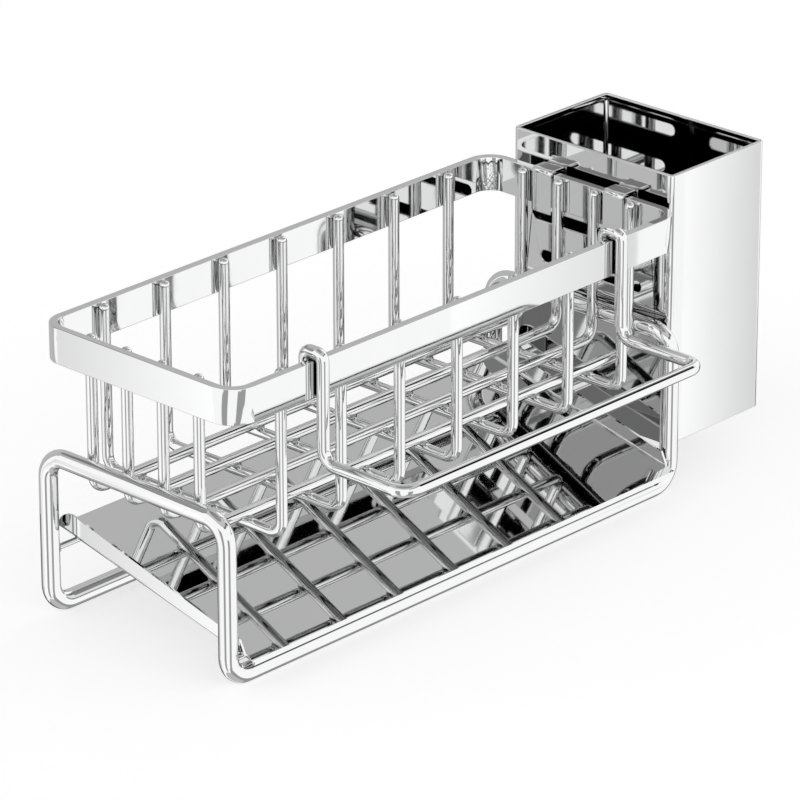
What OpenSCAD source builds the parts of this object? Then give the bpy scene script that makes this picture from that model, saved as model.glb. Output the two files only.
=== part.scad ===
// Sink-side sponge holder: a wire basket in a bent-rod base frame, a sloping drip tray that
// pulls out to the front, a towel rail hooked over the basket's band and a brush box hung on its end.
// Origin: centre of the base frame's footprint on the counter. +X towards the brush box, -Y to the front.

/* [Base frame] */
// Length between the centres of the left and right posts
frame_l = 255; // [180:5:340]
// Depth between the centres of the front and rear posts
frame_w = 96.7; // [80:1:130]
// Height of the top bars' centre above the counter
frame_top = 68.5; // [60:0.5:85]
// Diameter of the frame's rod
rod_d = 7.5; // [5:0.5:9]
// Radius of the frame's bends, at the rod's centre
rod_bend = 9.5; // [7:0.5:14]
// Diameter of the two thin bars that carry the drip tray
bar_d = 2.5; // [2:0.1:4]
// Height of the rear tray bar's centre above the counter
rear_bar_z = 27.5; // [18:0.5:32]

/* [Basket] */
// Height of the band's top edge above the counter
band_top = 122.4; // [110:1:150]
// Height of the flat bar that makes the band
band_h = 14.8; // [10:0.2:20]
// Thickness of the flat bar
band_t = 3.5; // [2.5:0.1:4]
// Depth of the band, from outer face to outer face
band_w = 105.3; // [95:0.1:120]
// How far each end of the band stands past the centre of the posts
band_over = 0.5; // [0:0.1:3]
// Outer radius of the band's corners
band_r = 11; // [8:0.5:20]
// How far the basket's centre lies in front of the frame's centre
basket_ahead = 0.8; // [0:0.1:2]
// Diameter of the basket wires
wire_d = 4.5; // [3:0.1:5]
// Radius of the wires' bends, at the wire's centre
wire_bend = 6; // [4:0.5:10]
// Height of the cross wires' centre under the basket
cross_z = 53.7; // [50:0.5:65]
// Spacing of the seven cross wires along the basket
cross_pitch = 32.5; // [24:0.5:36]
// Spacing of the four long wires across the basket
long_pitch = 19.25; // [16:0.25:21]
// How far the wires' ends stay below the band's top edge
wire_drop = 0.1; // [0:0.1:4]
// How deep two welded pieces sink into each other
weld_bite = 0.3; // [0.1:0.05:0.5]

/* [Drip tray] */
// Thickness of the tray's sheet
tray_t = 1; // [0.6:0.1:1.5]
// Gap between the tray's side walls and the posts
tray_gap = 1.15; // [0.5:0.05:3]
// Height of the tray's floor at the front posts
tray_z = 14; // [12:0.5:18]
// Slope of the floor down towards the front, in degrees
tray_tilt = 13.1; // [8:0.1:15]
// How far the floor reaches in front of the front posts' centres
tray_front = 7.7; // [5:0.1:15]
// Height of the side walls above the floor at the rear
tray_wall_rear = 8.4; // [5:0.1:10]
// Height of the side walls above the floor at the front posts
tray_wall_front = 5; // [3:0.1:8]
// Outer radius of the fold between floor and side walls
tray_fold = 1.9; // [1.5:0.1:4]
// Height of the turned-down lip at the front
tray_lip = 2.7; // [2:0.1:5]

/* [Towel rail] */
// Diameter of the towel rail's rod
rail_d = 5.1; // [4:0.1:6]
// Distance between the centres of the two hooks
rail_span = 170.2; // [120:0.2:230]
// How far the rail is pushed off centre, towards the brush box
rail_offset = 1.9; // [0:0.1:10]
// How far the bar's centre stands in front of the hooks' outer legs
rail_reach = 41.9; // [25:0.1:60]
// Height of the bar's centre above the counter
rail_z = 81.2; // [76:0.2:95]
// Radius of the rail's large bends, at the rod's centre
rail_bend = 6.5; // [5:0.5:10]
// Radius of the bends over the band, at the rod's centre
hook_bend = 3.2; // [3:0.1:3.4]
// Length of the hooks' inner legs below the band's top edge
hook_leg = 12.4; // [6:0.2:14]

/* [Brush box] */
// Width of the brush box along the basket
box_w = 58; // [40:1:90]
// Depth of the brush box
box_d = 86; // [70:1:110]
// Height of the brush box
box_h = 117.5; // [90:0.5:125]
// How far the box stands above the band's top edge
box_rise = 11.6; // [8:0.2:20]
// Thickness of the box's sheet
box_t = 1; // [0.6:0.1:1.5]
// Outer radius of the box's folds
box_r = 2.5; // [2:0.5:6]
// Gap between the box and the right posts
box_gap = 0.95; // [0.5:0.05:3]
// Height of the slots in the wall that faces the basket
slot_h = 5.1; // [4.2:0.1:8]
// Length of the upper slot
slot_upper = 64.4; // [40:0.2:66]
// Length of the lower slot
slot_lower = 54.3; // [30:0.1:60]
// Depth of the upper slot's centre below the box's top edge
slot_down = 34.7; // [32:0.1:44]
// Distance between the two slots' centres
slot_pitch = 17.6; // [10:0.1:25]
// Diameter of the drain holes in the box's base
drain_d = 6; // [4:0.5:8]
// Spacing of the drain holes
drain_pitch = 14; // [10:0.5:16]

/* [Hook straps] */
// Width of the two straps that hang the box on the band
strap_w = 10.5; // [6:0.5:11]
// Thickness of the straps
strap_t = 1.2; // [0.8:0.1:2]
// Length of the straps' legs inside the basket, below the band's top edge
strap_leg = 17.4; // [10:0.2:24]
// Length of the straps' legs welded to the box, below the band's top edge
strap_weld = 12; // [8:0.5:20]
// Inner radius of the straps' bends
strap_bend = 0.8; // [0.5:0.1:1]

/* [Hidden] */
$fn = 96;
// gap that lets one piece lift off or slide on another
play = 0.3;
// overrun of a cut past the face it goes through
over = 1;

rod_r = rod_d / 2;
wire_r = wire_d / 2;
bar_r = bar_d / 2;
rail_r = rail_d / 2;
post_x = frame_l / 2;
post_y = frame_w / 2;

// the band's outer faces and the wires that stand against its inner faces
basket_y = -basket_ahead;
band_x = post_x + band_over;
band_front = basket_y - band_w / 2;
cross_reach = band_w - 2 * band_t - wire_d + 2 * weld_bite;
long_reach = 2 * (band_x - band_t) - wire_d + 2 * weld_bite;
long_z = cross_z + wire_d - weld_bite;
wire_top = band_top - wire_drop;

// the tray lies on the two bars with a gap of play; the front bar just touches its sloping floor
tray_w = frame_l - rod_d - 2 * tray_gap;
tray_nose = -tray_front / cos(tray_tilt);
tray_tail = (frame_w + tray_t / 2) / cos(tray_tilt);
tray_wall_r = tray_wall_rear - tray_t;
front_bar_z = tray_z - (tray_t + play + bar_r) / cos(tray_tilt);
skirt_top = tray_z + frame_w * tan(tray_tilt) - tray_t / 2;
skirt_bottom = rear_bar_z + bar_r + play;

// the towel rail's legs stand off the band's faces by play, its hooks off the top edge
leg_out = band_front - play - rail_r;
leg_in = band_front + band_t + play + rail_r;
hook_z = band_top + play + rail_r;
rail_y = leg_out - rail_reach;

// the brush box hangs outside the right posts
box_x = post_x + rod_r + box_gap;
box_top = band_top + box_rise;
box_bottom = box_top - box_h;
slot_z = box_top - slot_down;
strap_in = band_x - band_t - play - strap_t;
strap_z = band_top + play;

steel = [0.80, 0.81, 0.82];
bright = [0.88, 0.89, 0.90];
sheet = [0.72, 0.73, 0.74];

// quarter of a bent rod of diameter d, from +X round to +Y at radius r
module quarter_bend(d, r) rotate_extrude(angle = 90) translate([r, 0]) circle(d = d);

// straight rod along +X, from the origin
module rod_along_x(d, length) rotate([0, 90, 0]) cylinder(d = d, h = length);

// straight rod along +Y, from the origin
module rod_along_y(d, length) rotate([-90, 0, 0]) cylinder(d = d, h = length);

// rod end with a domed tip, standing on the XY plane
module domed_rod(d, length) {
    cylinder(d = d, h = length - d / 2);
    translate([0, 0, length - d / 2]) sphere(d = d);
}

// flat outline of a rectangle with round corners, centred
module round_rect(w, d, r) {
    square([w - 2 * r, d], center = true);
    square([w, d - 2 * r], center = true);
    for (sx = [-1, 1], sy = [-1, 1]) translate([sx * (w / 2 - r), sy * (d / 2 - r)]) circle(r = r);
}

// flat outline of a slot with round ends along its first axis, centred
module slot_outline(length, height) {
    square([length - height, height], center = true);
    for (s = [-1, 1]) translate([s * (length - height) / 2, 0]) circle(d = height);
}

// one corner of the frame: half a top bar, a post, half a rail and their bends, at +X +Y
module frame_corner() {
    translate([post_x, post_y, rod_r + rod_bend])
        cylinder(d = rod_d, h = frame_top - rod_r - 2 * rod_bend);
    translate([post_x, post_y - rod_bend, frame_top - rod_bend])
        rotate([0, -90, 0]) quarter_bend(rod_d, rod_bend);
    translate([post_x, 0, frame_top]) rod_along_y(rod_d, post_y - rod_bend);
    translate([post_x - rod_bend, post_y, rod_r + rod_bend])
        rotate([-90, 0, 0]) quarter_bend(rod_d, rod_bend);
    translate([0, post_y, rod_r]) rod_along_x(rod_d, post_x - rod_bend);
}

module base_frame() {
    color(bright) for (mx = [0, 1], my = [0, 1]) mirror([mx, 0, 0]) mirror([0, my, 0]) frame_corner();
}

// thin bar welded between two posts
module tray_bar(y, z) {
    length = frame_l - rod_d + 2 * weld_bite;
    translate([-length / 2, y, z]) rod_along_x(bar_d, length);
}

module front_tray_bar() color(steel) tray_bar(-post_y, front_bar_z);

module rear_tray_bar() color(steel) tray_bar(post_y, rear_bar_z);

module basket_band() {
    color(bright) translate([0, basket_y, band_top - band_h]) linear_extrude(band_h) difference() {
        round_rect(2 * band_x, band_w, band_r);
        round_rect(2 * (band_x - band_t), band_w - 2 * band_t, band_r - band_t);
    }
}

// U-shaped wire in the XZ plane: reach between its legs' centres, bottom and top heights
module u_wire(reach, bottom) {
    half = reach / 2;
    translate([-half + wire_bend, 0, bottom]) rod_along_x(wire_d, reach - 2 * wire_bend);
    for (m = [0, 1]) mirror([m, 0, 0]) {
        translate([half - wire_bend, 0, bottom + wire_bend])
            rotate([-90, 0, 0]) quarter_bend(wire_d, wire_bend);
        translate([half, 0, bottom + wire_bend]) domed_rod(wire_d, wire_top - bottom - wire_bend);
    }
}

// cross wires run from front to rear, numbered from the left
module cross_wire(i) {
    color(steel) translate([(i - 4) * cross_pitch, basket_y, 0])
        rotate([0, 0, 90]) u_wire(cross_reach, cross_z);
}

// long wires run from end to end on top of the cross wires, numbered from the front
module long_wire(i) {
    color(steel) translate([0, basket_y + (i - 2.5) * long_pitch, 0]) u_wire(long_reach, long_z);
}

// side view of the tray in its own slope: floor at zero, walls falling to the front and round behind
module tray_side() {
    tail_top = tray_tail - tray_wall_r;
    rise = (tray_wall_rear - tray_wall_front) * tail_top / tray_tail;
    polygon([[tray_nose, -tray_t], [tray_tail, -tray_t], [tray_tail, tray_wall_rear - tray_wall_r],
        [tail_top, tray_wall_front + rise], [0, tray_wall_front], [tray_nose / 2, 0], [tray_nose, 0]]);
    translate([tail_top, tray_wall_front + rise - tray_wall_r]) circle(r = tray_wall_r);
}

// end view of the tray: a floor folded up into two side walls
module tray_end() {
    rise = tray_wall_rear + tray_t;
    difference() {
        tray_channel(tray_w, rise, tray_fold, 0);
        translate([0, tray_t]) tray_channel(tray_w - 2 * tray_t, rise, tray_fold - tray_t, over);
    }
}

// block with two round bottom corners, standing on the X axis and open above by extra
module tray_channel(w, h, r, extra) {
    translate([-w / 2, r]) square([w, h + extra - r]);
    translate([-w / 2 + r, 0]) square([w - 2 * r, r]);
    for (s = [-1, 1]) translate([s * (w / 2 - r), r]) circle(r = r);
}

module drip_tray() {
    color(sheet) {
        translate([0, -post_y, tray_z]) rotate([tray_tilt, 0, 0]) {
            intersection() {
                translate([0, tray_tail, -tray_t]) rotate([90, 0, 0])
                    linear_extrude(tray_tail - tray_nose) tray_end();
                translate([-tray_w / 2 - over, 0, 0]) rotate([90, 0, 90])
                    linear_extrude(tray_w + 2 * over) tray_side();
            }
            translate([-tray_w / 2 + tray_fold, tray_nose, -tray_lip])
                cube([tray_w - 2 * tray_fold, tray_t, tray_lip]);
        }
        translate([-tray_w / 2 + tray_fold, post_y - tray_t / 2, skirt_bottom])
            cube([tray_w - 2 * tray_fold, tray_t, skirt_top - skirt_bottom]);
    }
}

// one half of the towel rail, from the middle of its bar to the tip of the hook's inner leg
module rail_half() {
    leg_x = rail_span / 2;
    translate([0, rail_y, rail_z]) rod_along_x(rail_d, leg_x - rail_bend);
    translate([leg_x - rail_bend, rail_y + rail_bend, rail_z])
        rotate([0, 0, -90]) quarter_bend(rail_d, rail_bend);
    translate([leg_x, rail_y + rail_bend, rail_z]) rod_along_y(rail_d, rail_reach - 2 * rail_bend);
    translate([leg_x, leg_out - rail_bend, rail_z + rail_bend])
        rotate([0, 90, 0]) quarter_bend(rail_d, rail_bend);
    translate([leg_x, leg_out, rail_z + rail_bend])
        cylinder(d = rail_d, h = hook_z - hook_bend - rail_z - rail_bend);
    translate([leg_x, leg_out + hook_bend, hook_z - hook_bend])
        rotate([0, -90, 180]) quarter_bend(rail_d, hook_bend);
    translate([leg_x, leg_out + hook_bend, hook_z])
        rod_along_y(rail_d, leg_in - leg_out - 2 * hook_bend);
    translate([leg_x, leg_in - hook_bend, hook_z - hook_bend])
        rotate([0, -90, 0]) quarter_bend(rail_d, hook_bend);
    translate([leg_x, leg_in, hook_z - hook_bend]) rotate([180, 0, 0])
        domed_rod(rail_d, hook_z - hook_bend - band_top + hook_leg);
}

module towel_rail() {
    color(bright) translate([rail_offset, 0, 0]) for (m = [0, 1]) mirror([m, 0, 0]) rail_half();
}

// slot through the box's wall that faces the basket
module wall_slot(length, z) {
    translate([box_x - over, basket_y, z]) rotate([90, 0, 90])
        linear_extrude(box_t + 2 * over) slot_outline(length, slot_h);
}

module brush_box() {
    color(sheet) difference() {
        translate([box_x + box_w / 2, basket_y, box_bottom]) linear_extrude(box_h) difference() {
            round_rect(box_w, box_d, box_r);
            round_rect(box_w - 2 * box_t, box_d - 2 * box_t, box_r - box_t);
        }
        wall_slot(slot_upper, slot_z);
        wall_slot(slot_lower, slot_z - slot_pitch);
    }
}

// base welded inside the bottom edge, with as many drain holes as it has room for
module brush_box_base() {
    inner_w = box_w - 2 * box_t;
    inner_d = box_d - 2 * box_t;
    columns = floor((inner_w - drain_pitch) / drain_pitch);
    rows = floor((inner_d - drain_pitch) / drain_pitch);
    color(sheet) translate([box_x + box_w / 2, basket_y, box_bottom]) linear_extrude(box_t) difference() {
        round_rect(inner_w, inner_d, box_r - box_t);
        for (i = [0:columns - 1], j = [0:rows - 1])
            translate([i - (columns - 1) / 2, j - (rows - 1) / 2] * drain_pitch) circle(d = drain_d);
    }
}

// quarter of a strap's bend in side view, about its own centre, from +X round to +Y
module strap_corner() {
    intersection() {
        difference() {
            circle(r = strap_bend + strap_t);
            circle(r = strap_bend);
        }
        square(strap_bend + strap_t);
    }
}

// strap folded over the band: a free leg in the basket, a flat top and a leg welded to the box
module hook_strap(y) {
    corner = strap_bend + strap_t;
    top = strap_z + strap_t;
    color(steel) translate([0, y + strap_w / 2, 0]) rotate([90, 0, 0]) linear_extrude(strap_w) {
        translate([strap_in, band_top - strap_leg]) square([strap_t, top - corner - band_top + strap_leg]);
        translate([strap_in + corner, top - corner]) mirror([1, 0]) strap_corner();
        translate([strap_in + corner, strap_z]) square([box_x - strap_in - 2 * corner, strap_t]);
        translate([box_x - corner, top - corner]) strap_corner();
        translate([box_x - strap_t, band_top - strap_weld])
            square([strap_t, top - corner - band_top + strap_weld]);
    }
}

module front_hook_strap() hook_strap(basket_y - long_pitch);

module rear_hook_strap() hook_strap(basket_y + long_pitch);

base_frame();
front_tray_bar();
rear_tray_bar();
basket_band();
cross_wire(1);  // cross_wire_1
cross_wire(2);  // cross_wire_2
cross_wire(3);  // cross_wire_3
cross_wire(4);  // cross_wire_4
cross_wire(5);  // cross_wire_5
cross_wire(6);  // cross_wire_6
cross_wire(7);  // cross_wire_7
long_wire(1);  // long_wire_1
long_wire(2);  // long_wire_2
long_wire(3);  // long_wire_3
long_wire(4);  // long_wire_4
drip_tray();
towel_rail();
brush_box();
brush_box_base();
front_hook_strap();
rear_hook_strap();
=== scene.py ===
# Sponge holder of polished steel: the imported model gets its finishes, edges and welds here.
import math

import bpy
import numpy as np
from mathutils import Matrix, Vector


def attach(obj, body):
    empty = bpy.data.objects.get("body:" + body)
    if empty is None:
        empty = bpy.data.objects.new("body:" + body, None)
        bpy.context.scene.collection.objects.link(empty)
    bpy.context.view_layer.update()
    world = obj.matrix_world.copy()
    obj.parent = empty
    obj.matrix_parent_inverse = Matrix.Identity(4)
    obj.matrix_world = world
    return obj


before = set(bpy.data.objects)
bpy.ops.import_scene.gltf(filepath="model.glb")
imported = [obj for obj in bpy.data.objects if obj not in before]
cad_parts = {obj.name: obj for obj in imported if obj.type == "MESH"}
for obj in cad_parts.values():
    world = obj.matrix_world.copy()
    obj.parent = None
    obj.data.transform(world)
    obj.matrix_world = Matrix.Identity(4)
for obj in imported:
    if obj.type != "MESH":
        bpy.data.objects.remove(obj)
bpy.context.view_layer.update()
mm = 0.001
print("frame loaded:", len(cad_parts), "nodes")

camera = {
    "aimAt": (6.2 * mm, -12.0 * mm, 66.7 * mm),
    "yaw": 46.85,
    "pitch": 22.92,
    "roll": -0.08,
    "distance": 2.174,
    "lens": 248.4,
    "sensor": 36.0,
    "clip": (0.1, 50),
}


def placeCamera(c):
    yaw, pitch = math.radians(c["yaw"]), math.radians(c["pitch"])
    ahead = Vector((math.sin(yaw) * math.cos(pitch), math.cos(yaw) * math.cos(pitch), -math.sin(pitch)))
    data = bpy.data.cameras.new("studioCamera")
    data.lens, data.sensor_width = c["lens"], c["sensor"]
    data.clip_start, data.clip_end = c["clip"]
    eye = bpy.data.objects.new("studioCamera", data)
    turn = ahead.to_track_quat("-Z", "Y").to_matrix() @ Matrix.Rotation(math.radians(c["roll"]), 3, "Z")
    eye.matrix_world = Matrix.Translation(Vector(c["aimAt"]) - ahead * c["distance"]) @ turn.to_4x4()
    bpy.context.scene.collection.objects.link(eye)
    bpy.context.scene.camera = eye


placeCamera(camera)
bpy.context.scene.view_settings.view_transform = "Standard"


# Node helpers: every material below is a short list of these.
def addNode(tree, kind, inputs=None, **values):
    node = tree.nodes.new(kind)
    for name, value in values.items():
        setattr(node, name, value)
    for name, value in (inputs or {}).items():
        if isinstance(value, bpy.types.NodeSocket):
            tree.links.new(value, node.inputs[name])
        else:
            node.inputs[name].default_value = value
    return node


def mathNode(tree, operation, a, b=0.5):
    return addNode(tree, "ShaderNodeMath", {0: a, 1: b}, operation=operation).outputs[0]


def smoothRange(tree, value, low, high, outLow=0.0, outHigh=1.0):
    node = addNode(tree, "ShaderNodeMapRange", {"Value": value, "From Min": low, "From Max": high,
                                               "To Min": outLow, "To Max": outHigh},
                   interpolation_type="SMOOTHSTEP")
    return node.outputs["Result"]


def mixColour(tree, factor, a, b):
    node = tree.nodes.new("ShaderNodeMix")
    node.data_type = "RGBA"
    for socket, value in zip((node.inputs[0], node.inputs[6], node.inputs[7]), (factor, a, b)):
        if isinstance(value, bpy.types.NodeSocket):
            tree.links.new(value, socket)
        else:
            socket.default_value = value
    return node.outputs[2]


def grey(level):
    return (level, level, level, 1)


# The tent round the object is white. Its panels are given as (from, to) in degrees round and
# degrees up, the softness of their edges in degrees, and how bright they are. Every further
# mirroring dims the tent a little, and a ray lost between the wires finds it dark.
studio = {
    "tent": 1.0,
    "panels": [
        {"name": "ceiling", "round": (-200, 200), "up": (47, 100), "soft": 5, "level": 0.56},
        {"name": "roof", "round": (-200, 200), "up": (67, 100), "soft": 6, "level": 0.28},
        {"name": "floor in front", "round": (-125, 32), "up": (-100, -45), "soft": 4, "level": 0.30},
        {"name": "floor behind", "round": (-200, 200), "up": (-100, -63), "soft": 6, "level": 0.50},
        {"name": "backdrop", "round": (22, 119), "up": (-52, 60), "soft": 7, "level": 0.47},
        {"name": "dark corner", "round": (37, 63), "up": (-46, -12), "soft": 4, "level": 0.10},
        {"name": "left post", "round": (-178, -155), "up": (-60, 18), "soft": 3, "level": 0.34},
        {"name": "front post", "round": (-117, -94), "up": (-60, 6), "soft": 3, "level": 0.34},
        {"name": "edge tone", "round": (-6, 30), "up": (-48, -6), "soft": 5, "level": 0.20},
        {"name": "valance", "round": (-108, -26), "up": (41, 49), "soft": 3, "level": 0.20},
        {"name": "flag", "round": (-41, -19), "up": (28, 46), "soft": 5, "level": 0.0},
        {"name": "flag's tail", "round": (-22, -3), "up": (39, 46), "soft": 3, "level": 0.12},
    ],
    "mirrorKeeps": 0.85,
    "mirroredOnce": 2.0,
    "mirroredFew": 3.2,
    "mirroredMany": 5.2,
    "floorColour": 0.72,
    "floorGlow": 0.56,
    "floorSize": 12.0,
}


def dressWorld(s):
    world = bpy.data.worlds.new("softStudio")
    bpy.context.scene.world = world
    world.use_nodes = True
    tree = world.node_tree
    tree.nodes.clear()
    direction = addNode(tree, "ShaderNodeTexCoord").outputs["Generated"]
    axes = addNode(tree, "ShaderNodeSeparateXYZ", {0: direction}).outputs
    radian = math.degrees(1)
    turned = mathNode(tree, "MULTIPLY", mathNode(tree, "ARCTAN2", axes[1], axes[0]), radian)
    raised = mathNode(tree, "MULTIPLY", mathNode(tree, "ARCSINE", axes[2]), radian)

    def between(value, span, soft):
        rise = smoothRange(tree, value, span[0] - soft / 2, span[0] + soft / 2)
        fall = smoothRange(tree, value, span[1] - soft / 2, span[1] + soft / 2, 1.0, 0.0)
        return mathNode(tree, "MULTIPLY", rise, fall)

    colour = grey(s["tent"])
    for panel in s["panels"]:
        share = mathNode(tree, "MULTIPLY", between(turned, panel["round"], panel["soft"]),
                         between(raised, panel["up"], panel["soft"]))
        colour = mixColour(tree, share, colour, grey(panel["level"]))
    path = addNode(tree, "ShaderNodeLightPath").outputs
    colour = mixColour(tree, path["Is Camera Ray"], colour, grey(1.0))
    again = mathNode(tree, "MAXIMUM", mathNode(tree, "SUBTRACT", path["Ray Depth"], s["mirroredOnce"]), 0.0)
    kept = mathNode(tree, "MULTIPLY", mathNode(tree, "POWER", s["mirrorKeeps"], again),
                    smoothRange(tree, path["Ray Depth"], s["mirroredFew"], s["mirroredMany"], 1.0, 0.0))
    lost = mathNode(tree, "MULTIPLY", path["Is Glossy Ray"], mathNode(tree, "SUBTRACT", 1.0, kept))
    colour = mixColour(tree, lost, colour, grey(0.0))
    background = addNode(tree, "ShaderNodeBackground", {"Color": colour, "Strength": 1.0})
    addNode(tree, "ShaderNodeOutputWorld", {"Surface": background.outputs[0]})


def layFloor(s):
    half = s["floorSize"] / 2
    mesh = bpy.data.meshes.new("studioFloor")
    corners = [(-half, -half, 0), (half, -half, 0), (half, half, 0), (-half, half, 0)]
    mesh.from_pydata(corners, [], [(0, 1, 2, 3)])
    floor = bpy.data.objects.new("studioFloor", mesh)
    bpy.context.scene.collection.objects.link(floor)
    paint = bpy.data.materials.new("palePaper")
    paint.use_nodes = True
    tree = paint.node_tree
    tree.nodes.clear()
    paper = addNode(tree, "ShaderNodeBsdfDiffuse", {"Color": grey(s["floorColour"])})
    seen = addNode(tree, "ShaderNodeLightPath").outputs["Is Camera Ray"]
    lift = mathNode(tree, "MULTIPLY", seen, s["floorGlow"])
    glow = addNode(tree, "ShaderNodeEmission", {"Color": grey(1.0), "Strength": lift})
    both = addNode(tree, "ShaderNodeAddShader", {0: paper.outputs[0], 1: glow.outputs[0]})
    addNode(tree, "ShaderNodeOutputMaterial", {"Surface": both.outputs[0]})
    mesh.materials.append(paint)
    floor.visible_glossy = False  # the steel sees the tent's panels below it instead


# Upright cards that only the steel sees: the ground line they stand over, in mm, how high they
# reach, and their brightness at the two ends of that line.
cards = [
    {"name": "cardBehindFoot", "line": ((-150, 165), (40, 165)), "up": (-270, -8), "levels": (0.14, 0.14)},
    {"name": "cardBehindLow", "line": ((-150, 165), (40, 165)), "up": (-8, 150), "levels": (0.50, 0.50)},
    {"name": "cardBehindHigh", "line": ((-140, 165), (4, 165)), "up": (203, 300), "levels": (0.20, 0.20)},
    {"name": "cardBehindLeft", "line": ((-330, 165), (-148, 165)), "up": (235, 420), "levels": (0.30, 0.30)},
    {"name": "cardMiddle", "line": ((205, -250), (330, -250)), "up": (-30, 16), "levels": (1.09, 0.745)},
    {"name": "cardRight", "line": ((386, -250), (448, -250)), "up": (-170, 80), "levels": (1.06, 0.68)},
    {"name": "cardLeft", "line": ((-250, 60), (-250, 172)), "up": (-95, 85), "levels": (1.14, 0.77)},
]


def standCard(card):
    (start, end), (low, high) = card["line"], card["up"]
    points = np.array([(*start, low), (*end, low), (*end, high), (*start, high)]) * mm
    mesh = bpy.data.meshes.new(card["name"])
    mesh.from_pydata(points.tolist(), [], [(0, 1, 2, 3)])
    shade = mesh.attributes.new("shade", "FLOAT", "POINT")
    shade.data.foreach_set("value", np.array(card["levels"])[[0, 1, 1, 0]].astype(np.float32))
    board = bpy.data.objects.new(card["name"], mesh)
    bpy.context.scene.collection.objects.link(board)
    paint = bpy.data.materials.new(card["name"])
    paint.use_nodes = True
    paint.node_tree.nodes.clear()
    shade = addNode(paint.node_tree, "ShaderNodeAttribute", attribute_name="shade").outputs["Fac"]
    glow = addNode(paint.node_tree, "ShaderNodeEmission", {"Color": grey(1.0), "Strength": shade})
    addNode(paint.node_tree, "ShaderNodeOutputMaterial", {"Surface": glow.outputs[0]})
    mesh.materials.append(paint)
    board.visible_camera = board.visible_diffuse = board.visible_shadow = board.visible_transmission = False


dressWorld(studio)
layFloor(studio)
for card in cards:
    standCard(card)
print("camera and studio placed")

# Each finish: its colour, least and most roughness, and how strong and how fine its waviness is.
finishes = {
    "rod": {"colour": (0.94, 0.942, 0.945), "rough": (0.02, 0.05),
            "wave": 0.012, "waveSize": 60, "grain": 0.003},
    "wire": {"colour": (0.94, 0.942, 0.945), "rough": (0.02, 0.06),
             "wave": 0.03, "waveSize": 130, "grain": 0.004},
    "bar": {"colour": (0.94, 0.942, 0.945), "rough": (0.02, 0.05),
            "wave": 0.02, "waveSize": 40, "grain": 0.003},
    "sheet": {"colour": (0.93, 0.932, 0.935), "rough": (0.015, 0.04),
              "wave": 0.035, "waveSize": 20, "grain": 0.002},
    "strap": {"colour": (0.92, 0.922, 0.925), "rough": (0.03, 0.07),
              "wave": 0.03, "waveSize": 60, "grain": 0.004},
    "weld": {"colour": (0.58, 0.58, 0.58), "rough": (0.05, 0.14),
             "wave": 0.30, "waveSize": 700, "grain": 0.02},
}
polish = {
    "waveDetail": 2.0,
    "waveDeep": 0.001,
    "grainSize": 2600.0,
    "grainDetail": 3.0,
    "grainDeep": 0.0002,
    "hazeSize": 38.0,
    "hazeDetail": 5.0,
    "hazeRough": 0.6,
    "hazeSpan": (0.35, 0.7),
    "hazeTone": 0.97,
}
wears = {
    "rod": ["base_frame", "front_tray_bar", "rear_tray_bar", "towel_rail"],
    "wire": ["cross_wire_%d" % i for i in range(1, 8)] + ["long_wire_%d" % i for i in range(1, 5)],
    "bar": ["basket_band"],
    "sheet": ["drip_tray", "brush_box", "brush_box_base"],
    "strap": ["front_hook_strap", "rear_hook_strap"],
}


def polishedSteel(name, look, p):
    material = bpy.data.materials.new(name)
    material.use_nodes = True
    tree = material.node_tree
    shader = tree.nodes["Principled BSDF"]
    shader.inputs["Metallic"].default_value = 1.0
    place = addNode(tree, "ShaderNodeTexCoord").outputs["Object"]

    def noise(size, detail, **more):
        inputs = {"Vector": place, "Scale": size, "Detail": detail, **more}
        return addNode(tree, "ShaderNodeTexNoise", inputs).outputs["Fac"]

    # slow waviness of the polish, fine grain left by the wheel, and haze in patches
    wave = noise(look["waveSize"], p["waveDetail"])
    grain = noise(p["grainSize"], p["grainDetail"])
    haze = noise(p["hazeSize"], p["hazeDetail"], Roughness=p["hazeRough"])
    tree.links.new(smoothRange(tree, haze, *p["hazeSpan"], *look["rough"]), shader.inputs["Roughness"])
    clean = [*look["colour"], 1]
    hazy = [c * p["hazeTone"] for c in look["colour"]] + [1]
    tree.links.new(mixColour(tree, haze, clean, hazy), shader.inputs["Base Color"])
    broad = addNode(tree, "ShaderNodeBump", {"Height": wave, "Strength": look["wave"],
                                             "Distance": p["waveDeep"]})
    fine = addNode(tree, "ShaderNodeBump", {"Height": grain, "Strength": look["grain"],
                                            "Distance": p["grainDeep"], "Normal": broad.outputs[0]})
    tree.links.new(fine.outputs[0], shader.inputs["Normal"])
    return material


def dressNode(name, material):
    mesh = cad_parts[name].data
    mesh.materials.clear()
    mesh.materials.append(material)


steel = {kind: polishedSteel(kind + "Steel", look, polish) for kind, look in finishes.items()}
for kind, names in wears.items():
    for name in names:
        dressNode(name, steel[kind])
print("finishes laid on", len(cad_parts), "nodes")

# The polishing wheel breaks every sheared edge a little: how wide on each piece, in mm.
softEdges = {
    "basket_band": 0.35,
    "drip_tray": 0.22,
    "brush_box": 0.42,
    "front_hook_strap": 0.25,
    "rear_hook_strap": 0.25,
}
edgeWork = {"merge": 0.01, "segments": 2, "sharperThan": 50}


def breakEdges(name, width, work):
    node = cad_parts[name]
    join = node.modifiers.new("joined", "WELD")
    join.merge_threshold = work["merge"] * mm
    bevel = node.modifiers.new("brokenEdge", "BEVEL")
    bevel.width = width * mm
    bevel.segments = work["segments"]
    bevel.limit_method = "ANGLE"
    bevel.angle_limit = math.radians(work["sharperThan"])
    bevel.harden_normals = True


for name, width in softEdges.items():
    breakEdges(name, width, edgeWork)
print("edges broken on", len(softEdges), "pieces")



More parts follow.
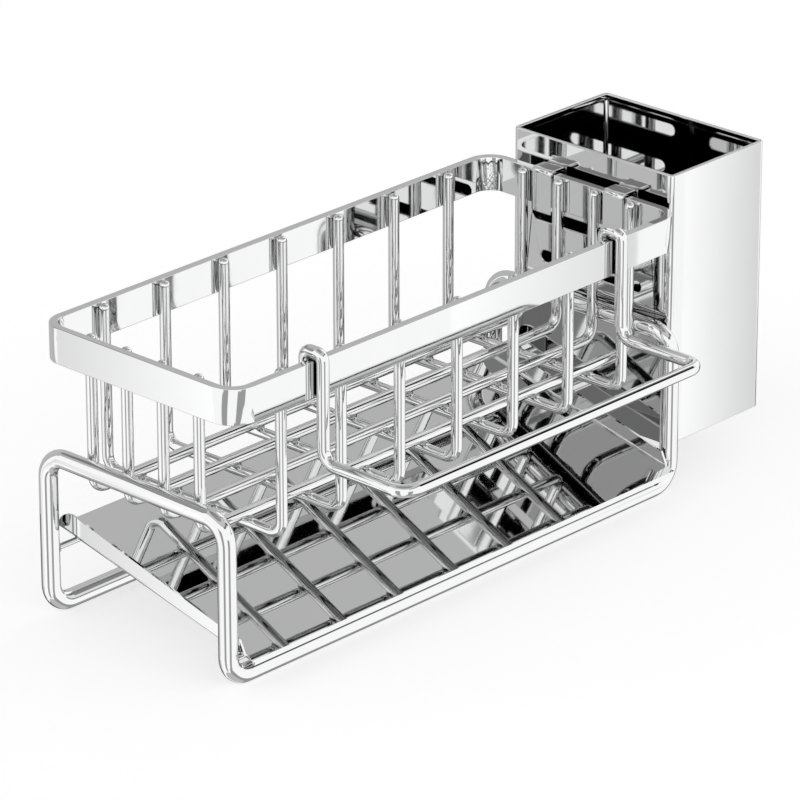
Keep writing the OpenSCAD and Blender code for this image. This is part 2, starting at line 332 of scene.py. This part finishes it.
def addPiece(name, points, faces, kind, body):
    mesh = bpy.data.meshes.new(name)
    mesh.from_pydata((points.reshape(-1, 3) * mm).tolist(), [], faces)
    mesh.polygons.foreach_set("use_smooth", np.ones(len(mesh.polygons), dtype=bool))
    mesh.materials.append(steel[kind])
    piece = bpy.data.objects.new(name, mesh)
    bpy.context.scene.collection.objects.link(piece)
    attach(piece, body)


# The box's top edge is folded back inside as a flat hem, in mm.
boxHem = {
    "centre": (161.2, -0.8),
    "inner": (56.0, 84.0),
    "corner": 1.5,
    "top": 133.9,
    "deep": 2.9,
    "thick": 0.8,
    "square": 0.4,
    "around": 12,
    "section": 24,
}


def hemAlongWall(h):
    # path: rectangle with round corners; section: a superellipse, sign(cos) |cos|^square wide, same in sin
    def squared(wave):
        return np.sign(wave) * np.abs(wave) ** h["square"]

    turn = np.linspace(0, np.pi / 2, h["around"])
    sides = np.array([(1, 1), (-1, 1), (-1, -1), (1, -1)])
    half = np.array(h["inner"]) / 2 - h["corner"]
    middles = np.repeat(half * sides, h["around"], axis=0)
    angle = (turn + np.pi / 2 * np.arange(4)[:, None]).ravel()
    out = np.stack([np.cos(angle), np.sin(angle)], 1)
    t = np.linspace(0, 2 * np.pi, h["section"], endpoint=False)
    wide = h["thick"] / 2 * (squared(np.cos(t)) - 1)
    high = h["top"] - h["deep"] / 2 * (1 - squared(np.sin(t)))
    reach = h["corner"] + wide[None, :, None]
    flat = np.array(h["centre"]) + middles[:, None] + out[:, None] * reach
    points = np.concatenate([flat, np.broadcast_to(high[None, :, None], flat.shape[:2] + (1,))], 2)
    index = np.arange(points.shape[0] * points.shape[1]).reshape(points.shape[:2])
    ahead, over = np.roll(index, -1, 0), np.roll(index, -1, 1)
    quads = np.stack([index, ahead, np.roll(ahead, -1, 1), over], -1).reshape(-1, 4)
    addPiece("box_hem", points, quads.tolist(), "sheet", "brush_box")


hemAlongWall(boxHem)
print("hem folded inside the box")

# Every weld is a bead squeezed out between two rods: middle and half-sizes in mm.
welds = {
    "around": 20,
    "along": 12,
    "steepest": 86,
    "lumps": 0.16,
    "lobes": 3,
    "bands": 2,
    "drift": 2.4,
    "bandDrift": 1.7,
    "crossX": [(i - 4) * 32.5 for i in range(1, 8)],
    "longY": [-0.8 + (j - 2.5) * 19.25 for j in range(1, 5)],
    "crossing": {"z": 55.8, "half": (2.5, 2.5, 0.95)},
    "bandLong": {"x": 124.5, "z": 115.5, "half": (0.75, 1.5, 6.6)},
    "bandCross": {"y": (-49.95, 48.35), "z": 115.5, "half": (1.5, 0.75, 6.6)},
    "frameLong": {"x": 124.2, "z": 68.4, "half": (1.0, 2.3, 2.6)},
    "trayBar": {"x": 123.6, "yz": ((-48.35, 11.4), (48.35, 27.5)), "half": (0.7, 1.9, 1.9)},
}


def weldBeads(name, middles, halves, w):
    # ellipsoid: middle + half * (cos up cos round, cos up sin round, sin up), with slow lumps on it
    middles, halves = np.asarray(middles, float), np.asarray(halves, float)
    turn = np.linspace(0, 2 * np.pi, w["around"], endpoint=False)
    rise = np.radians(np.linspace(-w["steepest"], w["steepest"], w["along"]))
    up, around = np.meshgrid(rise, turn, indexing="ij")
    ball = np.stack([np.cos(up) * np.cos(around), np.cos(up) * np.sin(around), np.sin(up)], -1)
    phase = np.arange(len(middles))[:, None, None] * w["drift"]
    waves = np.sin(w["lobes"] * around + phase) * np.cos(w["bands"] * up + phase * w["bandDrift"])
    lump = 1 + w["lumps"] * waves * np.cos(up)
    points = middles[:, None, None] + halves[:, None, None] * ball * lump[..., None]
    index = np.arange(points.size // 3).reshape(points.shape[:3])
    across = np.roll(index, -1, axis=2)
    quads = np.stack([index[:, :-1], across[:, :-1], across[:, 1:], index[:, 1:]], -1).reshape(-1, 4)
    lids = np.concatenate([index[:, 0, ::-1], index[:, -1]])
    addPiece(name, points, quads.tolist() + lids.tolist(), "weld", "stand")


def spread(xs, ys, zs):
    return np.stack(np.meshgrid(xs, ys, zs, indexing="ij"), -1).reshape(-1, 3)


def weldBasket(w):
    middles = spread(w["crossX"], w["longY"], [w["crossing"]["z"]])
    weldBeads("crossing_welds", middles, [w["crossing"]["half"]] * len(middles), w)
    sides = spread([-w["bandLong"]["x"], w["bandLong"]["x"]], w["longY"], [w["bandLong"]["z"]])
    fronts = spread(w["crossX"], w["bandCross"]["y"], [w["bandCross"]["z"]])
    halves = [w["bandLong"]["half"]] * len(sides) + [w["bandCross"]["half"]] * len(fronts)
    weldBeads("band_welds", np.concatenate([sides, fronts]), halves, w)
    tops = spread([-w["frameLong"]["x"], w["frameLong"]["x"]], w["longY"], [w["frameLong"]["z"]])
    bars = np.array([(side * w["trayBar"]["x"], y, z) for side in (-1, 1) for y, z in w["trayBar"]["yz"]])
    halves = [w["frameLong"]["half"]] * len(tops) + [w["trayBar"]["half"]] * len(bars)
    weldBeads("frame_welds", np.concatenate([tops, bars]), halves, w)


weldBasket(welds)
print("welds laid at the wires, the band and the frame")
